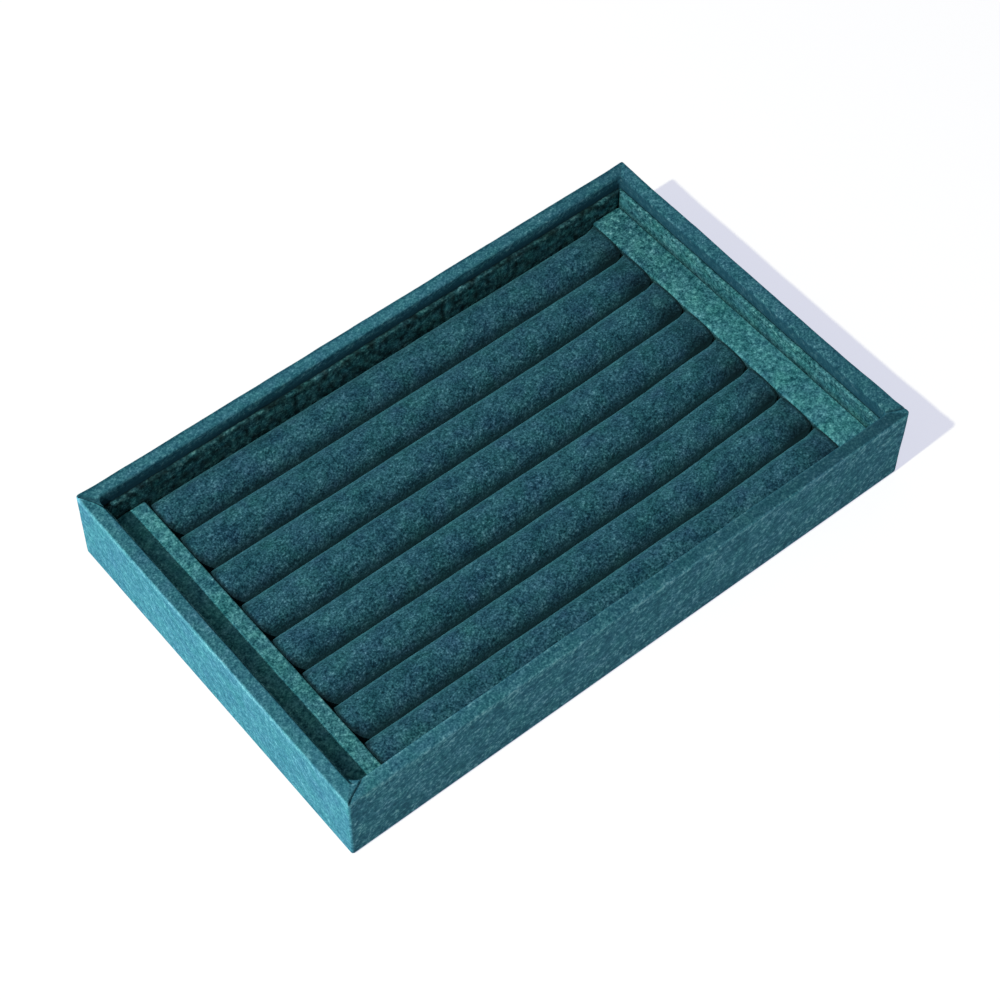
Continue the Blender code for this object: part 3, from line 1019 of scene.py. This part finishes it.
# Each strip gets painted light, low on the back strip, which stands in shade, with a random
# mottle; painted shade darkens its lower part by the pads, its crease by the wall and its mitred
# ends.
def lining_strip(side, half_run, offset, turn, softness, naps_up, shades, seed):
    nap_low, nap_top, nap_crown = naps_up
    shade_low, shade_deep = shades
    spin = Matrix.Rotation(turn, 3, "Z")
    mottle = min(most_mottled, softness / (0.15 * mm))
    side_swells = ((0.10 * mm, 11.0 * mm, seed), (softness, 4.2 * mm, seed + 5.0))
    top_swells = ((0.16 * mm, 14.0 * mm, seed + 9.0), (1.2 * softness, 5.0 * mm, seed + 13.0))
    rows, flow, rubbed, pressed, naps = [], [], [], [], []
    count = round(2 * half_run / lining_step)
    for index in range(count + 1):
        share = 2 * index / count - 1.0
        row = []
        climbed = 0.0
        for number, point in enumerate(lining_profile):
            d, z = point
            up = z - lining_top
            if number:
                climbed += (point - lining_profile[number - 1]).length
            along = share * (half_run - d - mitre_gap / 2)
            place = Vector((along, d - offset, z))
            spot = spin @ place
            face = soft_step(d, lining_far - 0.5 * mm, lining_far)
            shown = soft_step(z, lining_foot + 2.0 * mm, lining_foot + 14.0 * mm)
            place.y += (uneven(spot, side_swells) * 0.8 - 0.08 * mm) * face * shown
            place.z += uneven(spot, top_swells) * soft_step(up, -3.5 * mm, -0.2 * mm)
            row.append(spin @ place)
            rub = hill(d - lining_far, -0.3 * mm, 0.6 * mm) * hill(up, -0.3 * mm, 0.7 * mm)
            rubbed.append(rub * (0.3 + 0.3 * wobble(spot, 4.0 * mm, seed + 17.0)))
            nap = between(nap_low, nap_top, soft_step(up, -4.0 * mm, -1.2 * mm))
            nap *= between(1.0, nap_crown, soft_step(up, -0.6 * mm, -0.1 * mm))
            # Painted light, with a random mottle on top of it.
            naps.append(nap * max(0.25, 1.0 + mottle * wobble(spot, 2.6 * mm, seed + 21.0)))
            press = shade_deep * (1.0 - soft_step(d - lining_near, 0.0, 0.7 * mm))
            press += shade_low * (1.0 - soft_step(z - pad_high.z, 0.7 * mm, 2.5 * mm))
            press += 0.5 * hill(half_run - abs(along), lining_far, 0.8 * mm)
            pressed.append(min(most_pressed, press))
            flow.append((along, climbed, seed))
        rows.append(row)
    mesh = skin_mesh("lining_" + side, rows, closed_run=False)
    paint_velvet(mesh, flow, nap=naps, rubbed=rubbed, pressed=pressed)
    strip = add_piece("lining_strip_" + side, mesh, lining_velvet, "tray")
    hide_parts("lining_velvet_" + side)


print("a strip has points every", round(lining_step / mm, 1), "mm")

# %% Four lining strips
lining_strip("front", tray_half_length, tray_half_width, turn=0.0, softness=0.05 * mm,
             naps_up=(0.9, 0.9, 1.0), shades=(0.5, 0.9), seed=50.0)
lining_strip("right", tray_half_width, tray_half_length, turn=quarter, softness=0.04 * mm,
             naps_up=(1.23, 0.97, 1.0), shades=(0.75, 0.7), seed=90.0)
# The back strip stands in shade: little painted light, and deep painted shade in its crease by
# the wall.
lining_strip("back", tray_half_length, tray_half_width, turn=2 * quarter,
             softness=0.24 * mm, naps_up=(0.82, 0.52, 0.62), shades=(0.4, 1.35), seed=130.0)
lining_strip("left", tray_half_width, tray_half_length, turn=-quarter, softness=0.05 * mm,
             naps_up=(1.1, 1.0, 1.0), shades=(0.5, 0.9), seed=170.0)
print("lining stands", round((rim_height - lining_top) / mm, 1), "mm below the rim")

# %% [markdown]
# The padded rolls
#
# Each roll is a strip of foam with velvet drawn over it. The eight are packed side by
# side, so tightly that the slots between them stay shut. A hard shape would look like a
# plank. So each one is started a little too small, covered in an even mesh, and blown up
# with Cloth pressure while its flat underside is held. The swelling is capped, and stops
# at its neighbours. The start shape is a full arch on straight sides, with its two ends
# bent in.

# %% Bars with bent ends
def places_along(half_run, bend, step, bend_steps):
    straight = half_run - bend
    count = round(straight / step)
    places = [straight * number / count for number in range(count)]
    places += [straight + bend * math.sin(quarter * number / bend_steps)
               for number in range(bend_steps + 1)]
    return [-place for place in reversed(places)] + places[1:]


def end_inset(place, half_run, bend):
    over = max(0.0, abs(place) - (half_run - bend))
    return bend - math.sqrt(max(0.0, bend ** 2 - over ** 2))


print("a bend of 1 mm is inset by", end_inset(10.0 * mm, 10.0 * mm, mm) / mm, "mm at its end")

# %% Roll start shapes
roll_count = 8
shrink = 0.42 * mm
roll_arch = 6.4 * mm
roll_fullness = 2.5
roll_end_bend = 0.5 * mm
roll_step = 3.0 * mm
end_slack = 0.2 * mm
spare_run = 3.0 * mm
arch_steps, side_steps, end_steps = 22, 8, 5
roll_names = ["roll_velvet_" + str(number) for number in range(1, roll_count + 1)]


def roll_section(half_width, crest, bottom, arch):
    points = []
    spring = crest - arch
    power = 2 / roll_fullness
    for step in range(arch_steps + 1):
        angle = math.pi * step / arch_steps
        side = math.copysign(abs(math.cos(angle)) ** power, math.cos(angle))
        points.append((side * half_width, spring + math.sin(angle) ** power * arch))
    for step in range(1, side_steps):
        points.append((-half_width, between(spring, bottom, step / side_steps)))
    for step in range(side_steps + 1):
        points.append((between(-half_width, half_width, step / side_steps), bottom))
    for step in range(1, side_steps):
        points.append((half_width, between(bottom, spring, step / side_steps)))
    return points


def roll_start(name, low, high):
    centre = (low.y + high.y) / 2
    half_width = (high.y - low.y) / 2 - shrink
    half_run = high.x - end_slack
    rows = []
    for x in places_along(half_run, roll_end_bend, roll_step, end_steps):
        inset = min(end_inset(x, half_run, roll_end_bend), roll_end_bend * 0.96)
        section = roll_section(half_width - inset, high.z - shrink - inset,
                               low.z + 0.05 * mm, roll_arch - 0.6 * inset)
        spread = x if x < 0.0 else x * (half_run + spare_run) / half_run
        rows.append([Vector((spread, centre + y, z)) for y, z in section])
    return skin_mesh(name, rows, closed_run=False)


print("start shapes are", round(shrink / mm, 2), "mm smaller on each side")

# %% [markdown]
# Swelling the rolls
#
# Voxel Remesh gives every roll the same small square faces, so the cloth stretches alike
# everywhere. The Cloth solver is unsure of things a few millimetres in size, so the rolls
# swell at twenty times their size and are scaled back. Gravity is off, since foam carries
# the velvet. If the cloth has not moved a roll at all, a plain swelling is taken instead.

# %% Swelling helpers
sim_scale = 20.0
voxel = 1.3 * mm
swell_frames = 20
held_height = 0.8 * mm
cloth_settings = {
    "quality": 6, "use_pressure": True, "uniform_pressure_force": 4.0,
    "vertex_group_mass": "held", "tension_stiffness": 12.0, "compression_stiffness": 12.0,
    "shear_stiffness": 6.0, "bending_stiffness": 0.6,
}


def evaluated_mesh(item):
    bpy.context.view_layer.update()
    shown = item.evaluated_get(bpy.context.evaluated_depsgraph_get())
    return bpy.data.meshes.new_from_object(shown)


def remeshed(name, mesh):
    mesh.transform(Matrix.Scale(sim_scale, 4))
    item = into_scene(name, mesh)
    remesh = item.modifiers.new("even", "REMESH")
    remesh.mode = "VOXEL"
    remesh.voxel_size = voxel * sim_scale
    remesh.use_smooth_shade = True
    even = evaluated_mesh(item)
    item.modifiers.clear()
    item.data = even
    return item


def add_cloth(item, bottom):
    held = item.vertex_groups.new(name="held")
    low = [v.index for v in item.data.vertices if v.co.z < (bottom + held_height) * sim_scale]
    held.add(low, 1.0, "REPLACE")
    modifier = item.modifiers.new("swelling", "CLOTH")
    for name, value in cloth_settings.items():
        setattr(modifier.settings, name, value)
    modifier.settings.effector_weights.gravity = 0.0
    modifier.point_cache.frame_start = 1
    modifier.point_cache.frame_end = swell_frames


print("rolls swell for", swell_frames, "frames at", round(sim_scale), "times their size")

# %% Swell the eight rolls
boxes = [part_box(name) for name in roll_names]
starts = []
for name, (low, high) in zip(roll_names, boxes):
    starts.append(remeshed(name + "_start", roll_start(name, low, high)))
rest_points = [[v.co / sim_scale for v in item.data.vertices] for item in starts]
swollen_points = rest_points
for item, (low, high) in zip(starts, boxes):
    add_cloth(item, low.z)
for step in range(1, swell_frames + 1):
    bpy.context.scene.frame_set(step)
swollen = [evaluated_mesh(item) for item in starts]
swollen_points = [[v.co / sim_scale for v in mesh.vertices] for mesh in swollen]
bpy.context.scene.frame_set(1)
moved = [max((b - a).length for a, b in zip(rest, grown)) / mm
         for rest, grown in zip(rest_points, swollen_points)]
print("cloth moved up to, mm:", [round(value, 2) for value in moved])

# %% [markdown]
# Finishing the rolls
#
# The simulation gives the swelling, and the rest is added one by one: a limit, so that a roll
# stays in its own lane; a wider foot, because low down the rolls are pressed flat against
# each other; a few soft dents, because foam is never even; and the two ends. On the left
# the velvet dives down beside the end pad, and on the right it is flattened level with it.
# The slots between the rolls aren't quite straight either: each has its own slight sway,
# given in millimetres at its left end, its middle and its right end.

# %% Slots and their sway
slot_sway = (
    (0.0, 0.0, 0.0), (-0.1, -0.4, 0.1), (-0.25, -0.6, 0.8),
    (-0.6, -0.5, 0.6), (-1.0, -0.6, 1.0), (-0.6, -1.1, 0.8),
    (-0.6, -1.1, 0.7), (-0.8, -0.9, 0.0), (0.0, 0.0, 0.0),
)


def sway_at(slot, x):
    left, middle, right = slot_sway[slot]
    sway = between(left, middle, soft_step(x, -95.0 * mm, -30.0 * mm))
    return between(sway, right, soft_step(x, 45.0 * mm, 95.0 * mm)) * mm


print("slots sway by up to", max(abs(sway) for slot in slot_sway for sway in slot), "mm")

# %% A roll in its lane
swell_cap = 0.60 * mm
foot_widening = 0.06
crest_allowance = 0.1 * mm
end_reach = 3.0 * mm
end_power = 1.8
end_drop = 0.25 * mm
right_reach = 0.75 * mm
flat_reach = 3.8 * mm
flat_height = pad_high.z - 0.05 * mm
flat_share = 0.42


def in_lane(number, spot, low, high):
    centre, half_width = (low.y + high.y) / 2, (high.y - low.y) / 2
    foot = 1.0 - soft_step(spot.z, high.z - 9.0 * mm, high.z - 7.0 * mm)
    spot.y = centre + (spot.y - centre) * (1.0 + foot_widening * foot)
    spot.y = min(centre + half_width, max(centre - half_width, spot.y))
    spot.z = min(high.z + crest_allowance, spot.z)
    past = min(1.0, max(0.0, -spot.x - (high.x - end_reach)) / end_reach)
    if past > 0.0:
        past = 1.0 - (1.0 - past) ** end_power
        spot.x = end_reach * (1.0 - past) - high.x
        level = max(0.0, (spot.z - low.z) / (high.z - low.z))
        spot.z -= end_drop * (1.0 - math.sqrt(1.0 - past ** 2)) * level
    spot.x = min(spot.x, high.x + right_reach)
    flat = soft_step(spot.x, high.x - flat_reach, high.x + right_reach)
    flat *= soft_step(spot.z, high.z - 7.5 * mm, high.z - 6.0 * mm)
    spot.z = between(spot.z, flat_height - (high.z - spot.z) * flat_share, flat)
    to_back = (spot.y - low.y) / (high.y - low.y)
    spot.y += between(sway_at(number, spot.x), sway_at(number - 1, spot.x), to_back)
    return spot


def shape_roll(number, mesh, rest, grown, low, high):
    pushes = [b - a for a, b in zip(rest, grown)]
    longest = max(push.length for push in pushes)
    ease = 1.0 if longest <= swell_cap else swell_cap / longest
    dents = ((0.16 * mm, 24.0 * mm, 60.0 + number * 7.0),
             (0.07 * mm, 7.5 * mm, 90.0 + number * 5.0),
             (0.03 * mm, 3.0 * mm, 20.0 + number * 3.0))
    work = bmesh.new()
    work.from_mesh(mesh)
    work.verts.ensure_lookup_table()
    work.normal_update()
    for vertex, place, push in zip(work.verts, rest, pushes):
        step = push * ease if longest > 0.0 else vertex.normal * (shrink * 0.9)
        above = soft_step(place.z, low.z + 1.0 * mm, low.z + 4.0 * mm)
        spot = place + step * above
        spot = spot + vertex.normal * (uneven(spot, dents) * above)
        vertex.co = in_lane(number, spot, low, high)
    work.to_mesh(mesh)
    work.free()
    mesh.shade_smooth()


print("a roll may swell by", round(swell_cap / mm, 2), "mm")

# %% [markdown]
# Painted light and shade across a roll
#
# A velvet roll gets a painted highlight just behind its crest and painted shade on the
# slope in front. Down in the slot beside the next roll, and at both ends by the pads,
# painted shade darkens it. The back of a roll, past its crest, is painted paler too, but
# not on the first roll, which stands close to the back wall. A flat velvet with only lamp
# light on it would lack all of this.

# %% Paint of a roll
brush_angle = math.radians(25.0)
crest_light = 0.12
shoulder_shade = 0.12
slope_shade = 0.24
back_nap, free_back_nap = 1.35, 0.95


def brushed(x, y):
    return (x * math.cos(brush_angle) + y * math.sin(brush_angle),
            y * math.cos(brush_angle) - x * math.sin(brush_angle))


# Painted highlight just behind the crest, painted shade on the slope in front.
def nap_over(offset):
    light = crest_light * hill(offset, 1.2 * mm, 2.2 * mm)
    shade = shoulder_shade * soft_step(-offset, 3.0 * mm, 6.2 * mm)
    shade += slope_shade * soft_step(-offset, 5.8 * mm, 8.2 * mm)
    return 1.0 + light - shade


def near(distance, whole, gone):
    return 1.0 - soft_step(distance, whole * mm, gone * mm)


# Painted shade low in the slots, on the front slopes near the right pad, and at both ends.
def roll_press(spot, normal, high):
    front = soft_step(-normal.y, 0.1, 0.6)
    back = soft_step(normal.y, 0.1, 0.6)
    crest = 1.0 - front - back
    to_right, to_left = high.x - spot.x, high.x + spot.x
    press = 0.7 * (1.0 - soft_step(spot.z, high.z - roll_arch * 1.1, high.z - roll_arch * 0.45))
    press *= 1.0 + 0.7 * near(to_right, 9.0, 14.0)
    press += 0.15 * front * (1.0 - soft_step(spot.z, high.z - 4.0 * mm, high.z - 1.0 * mm))
    press += 0.9 * front * near(to_right, 3.0, 16.0)
    press += 0.35 * back * near(to_right, 2.5, 5.5) + 0.35 * crest * near(to_right, 7.0, 15.0)
    press += 0.9 * near(to_right, -0.45, 0.15)
    press += (front + back) * (1.2 * near(to_left, 0.9, 2.4) + 0.25 * near(to_left, 2.4, 5.0))
    press += 1.2 * crest * near(to_left, 0.3, 0.9)
    return min(1.35, press)


def paint_roll(number, mesh, low, high):
    centre = (low.y + high.y) / 2
    behind = free_back_nap if number == 1 else back_nap
    rubbed, pressed, flow, naps = [], [], [], []
    for vertex in mesh.vertices:
        spot = vertex.co
        worn = 0.25 * soft_step(spot.z, high.z - 1.6 * mm, high.z)
        rubbed.append(worn * wobble(spot, 9.0 * mm, 77.0))
        pressed.append(roll_press(spot, vertex.normal, high))
        # Back slopes get a painted highlight, except on the first roll by the back wall.
        nap = between(1.0, behind, soft_step(vertex.normal.y, 0.25, 0.8))
        naps.append(nap * nap_over(spot.y - centre))
        flow.append((*brushed(spot.x, spot.y), spot.z + number))
    paint_velvet(mesh, flow, nap=naps, rubbed=rubbed, pressed=pressed)


print("nap on the crest and on the slope:", round(nap_over(1.2 * mm), 2),
      round(nap_over(-8.0 * mm), 2))

# %% [markdown]
# The rolls take their place
#
# Each roll now gets its last shape, its paint and its velvet. It stands in for the
# model's roll velvet and for the foam inside it, so both are replaced by one padded piece.
# It rides on the insert, because it has to lift out with it. It is well filled, but it
# still gives.

# %% Final rolls
def finish_roll(number, item, rest, grown, low, high):
    mesh = item.data
    shape_roll(number, mesh, rest, grown, low, high)
    paint_roll(number, mesh, low, high)
    item.name = "padded_roll_" + str(number)
    mesh.name = item.name
    mesh.materials.clear()
    mesh.materials.append(roll_velvet)
    item.modifiers.clear()
    item.vertex_groups.clear()
    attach(item, "insert")
    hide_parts("roll_velvet_" + str(number), "roll_core_" + str(number))
    return len(mesh.polygons)


roll_faces = 0
for index, item in enumerate(starts):
    low, high = boxes[index]
    roll_faces += finish_roll(index + 1, item, rest_points[index], swollen_points[index],
                              low, high)
print("faces in the eight rolls:", roll_faces)

# %% [markdown]
# The end pads
#
# At each end of the rolls a flat velvet strip covers a block of board. It is much firmer
# than the rolls, so its top is almost level, with only a slight crown, and its long edges
# are bent over tightly. A bevelled box would come close, but here too a section is carried
# along, so that its edges can get wear and a paler tone, and the pad can grow lighter or
# darker from front to back. Its sides and ends, below the top, get painted shade. On the
# left pad the strip that lies in the left wall's shadow is painted lighter, most towards
# the shadow's edge.

# %% Section and painted light of a pad
pad_bend = 0.75 * mm
pad_bend_steps, pad_floor_steps = 4, 8
left_pad_lift_ramp = (-109.8 * mm, -107.0 * mm)
left_pad_shadow_edge = (-104.95 * mm, -104.4 * mm)
left_pad_naps = (1.15, 1.55)


def pad_section(half_across, height):
    top = bent_line([
        (-half_across, 0.0, 0.0, 2.4 * mm),
        (-half_across, height, pad_bend, 0.5 * mm),
        (half_across, height, pad_bend, 2.4 * mm),
        (half_across, 0.0, 0.0, 2.4 * mm),
    ])
    return top + [Vector((between(half_across, -half_across, step / pad_floor_steps), 0.0))
                  for step in range(1, pad_floor_steps)]


# The pad grows lighter or darker from front to back; on the left pad the strip in the left
# wall's shadow is painted lighter, most towards the shadow's edge.
def pad_nap(side, spot, half_run, nap_behind, nap_in_front):
    nap = between(nap_in_front, nap_behind, soft_step(spot.y, -half_run * 0.3, half_run * 0.8))
    if side == "left":
        shadow_lift = between(*left_pad_naps, soft_step(spot.x, *left_pad_lift_ramp))
        nap *= between(shadow_lift, 1.0, soft_step(spot.x, *left_pad_shadow_edge))
    return nap


print("points round a pad:", len(pad_section(4.0 * mm, 12.0 * mm)))

# %% End pads
pad_step = 1.1 * mm
pad_crown = 0.12 * mm
pad_sink = 0.10 * mm
pad_side_shade = 1.45


def end_pad(side, slide_left, slide_right, nap_behind, nap_in_front, seed):
    low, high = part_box("end_pad_velvet_" + side)
    left_edge, right_edge = low.x + slide_left, high.x + slide_right
    half_across, centre = (right_edge - left_edge) / 2, (left_edge + right_edge) / 2
    half_run, height = (high.y - low.y) / 2, high.z - low.z
    swells = ((0.09 * mm, 16.0 * mm, seed), (0.05 * mm, 5.0 * mm, seed + 3.0))
    section = pad_section(half_across, height)
    rows, flow, rubbed, pressed, naps = [], [], [], [], []
    for y in places_along(half_run, pad_bend, pad_step, pad_bend_steps):
        inset = end_inset(y, half_run, pad_bend)
        row = []
        for across, up_by in section:
            x = across * (1.0 - inset / half_across)
            spot = Vector((centre + x, y, low.z + up_by * (1.0 - inset / height)))
            on_top = soft_step(up_by, height - 1.2 * mm, height - 0.1 * mm)
            crown = pad_crown * (1.0 - (across / half_across) ** 2)
            spot.z += (crown + uneven(spot, swells) - pad_sink) * on_top
            row.append(spot)
            edge = hill(half_across - abs(across), 0.4 * mm, 0.6 * mm) * on_top
            rubbed.append(edge * (0.1 + 0.25 * wobble(spot, 4.0 * mm, seed + 8.0)))
            # Painted shade on the pad's sides and ends, below its top.
            open_top = soft_step(up_by, height - 1.3 * mm, height - 0.3 * mm)
            pressed.append(pad_side_shade * (1.0 - open_top))
            naps.append(pad_nap(side, spot, half_run, nap_behind, nap_in_front))
            flow.append((*brushed(x, y), seed))
        rows.append(row)
    mesh = skin_mesh("end_pad_" + side, rows, closed_run=False)
    paint_velvet(mesh, flow, nap=naps, rubbed=rubbed, pressed=pressed)
    pad = add_piece("end_pad_" + side, mesh, lining_velvet, "insert")
    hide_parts("end_pad_velvet_" + side, "end_pad_block_" + side)
    return len(mesh.polygons)


pad_faces = end_pad("left", slide_left=0.0, slide_right=0.2 * mm,
                    nap_behind=1.2, nap_in_front=1.03, seed=210.0)
pad_faces += end_pad("right", slide_left=0.65 * mm, slide_right=0.45 * mm,
                     nap_behind=0.95, nap_in_front=1.24, seed=250.0)
print("faces in the two end pads:", pad_faces)

# %% [markdown]
# The underside
#
# A thin panel of the same cloth is glued inside the foot of the walls, so the tray does
# not scratch what it stands on. It is nearly flat, with a slight quilted unevenness where
# glue took hold, and its edge is pressed thin against the board.

# %% Underside cloth
under_low, under_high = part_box("underside_panel")
under_cells = (60, 40)
under_lift = 0.12 * mm
under_swell = (0.10 * mm, 9.0 * mm, 300.0)
pressed_edge = 0.25 * mm
pressed_edge_reach = 3.0 * mm
under_press = 0.2


def under_spot(i, j, height):
    size = under_high - under_low
    x = under_low.x + size.x * i / under_cells[0]
    y = under_low.y + size.y * j / under_cells[1]
    spot = Vector((x, y, height))
    if height == under_low.z:
        edge = min(x - under_low.x, under_high.x - x, y - under_low.y, under_high.y - y)
        spot.z += under_lift + uneven(spot, [under_swell])
        spot.z += pressed_edge * (1.0 - soft_step(edge, 0.0, pressed_edge_reach))
    return spot


def under_mesh():
    count_x, count_y = under_cells
    work = bmesh.new()
    layers = []
    for height in (under_low.z, under_high.z):
        grid = {(i, j): work.verts.new(under_spot(i, j, height))
                for i in range(count_x + 1) for j in range(count_y + 1)}
        layers.append(grid)
        for i in range(count_x):
            for j in range(count_y):
                work.faces.new((grid[i, j], grid[i + 1, j], grid[i + 1, j + 1], grid[i, j + 1]))
    bottom, top = layers
    border = [(i, 0) for i in range(count_x)]
    border += [(count_x, j) for j in range(count_y)]
    border += [(i, count_y) for i in range(count_x, 0, -1)]
    border += [(0, j) for j in range(count_y, 0, -1)]
    for here, after in zip(border, border[1:] + border[:1]):
        work.faces.new((bottom[here], bottom[after], top[after], top[here]))
    mesh = skin_of("underside_cloth", work)
    mesh.set_sharp_from_angle(angle=math.radians(40.0))
    return mesh


mesh = under_mesh()
count = len(mesh.vertices)
# The same channel darkens the whole underside evenly.
paint_velvet(mesh, [tuple(v.co) for v in mesh.vertices], nap=[1.0] * count,
             rubbed=[0.0] * count, pressed=[under_press] * count)
panel = add_piece("underside_cloth", mesh, lining_velvet, "tray")
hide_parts("underside_panel")

# %% [markdown]
# Measure and finish
#
# Last we measure the dressed tray and print its box, to set beside the CAD box printed at
# the start. Cloth may stand a little proud of its board, but the tray itself keeps its size.

# %% Sizes and finish
scene_low, scene_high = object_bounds()
scene_size = [round((high - low) / mm, 1) for low, high in zip(scene_low, scene_high)]
print("visual box, mm:", scene_size)
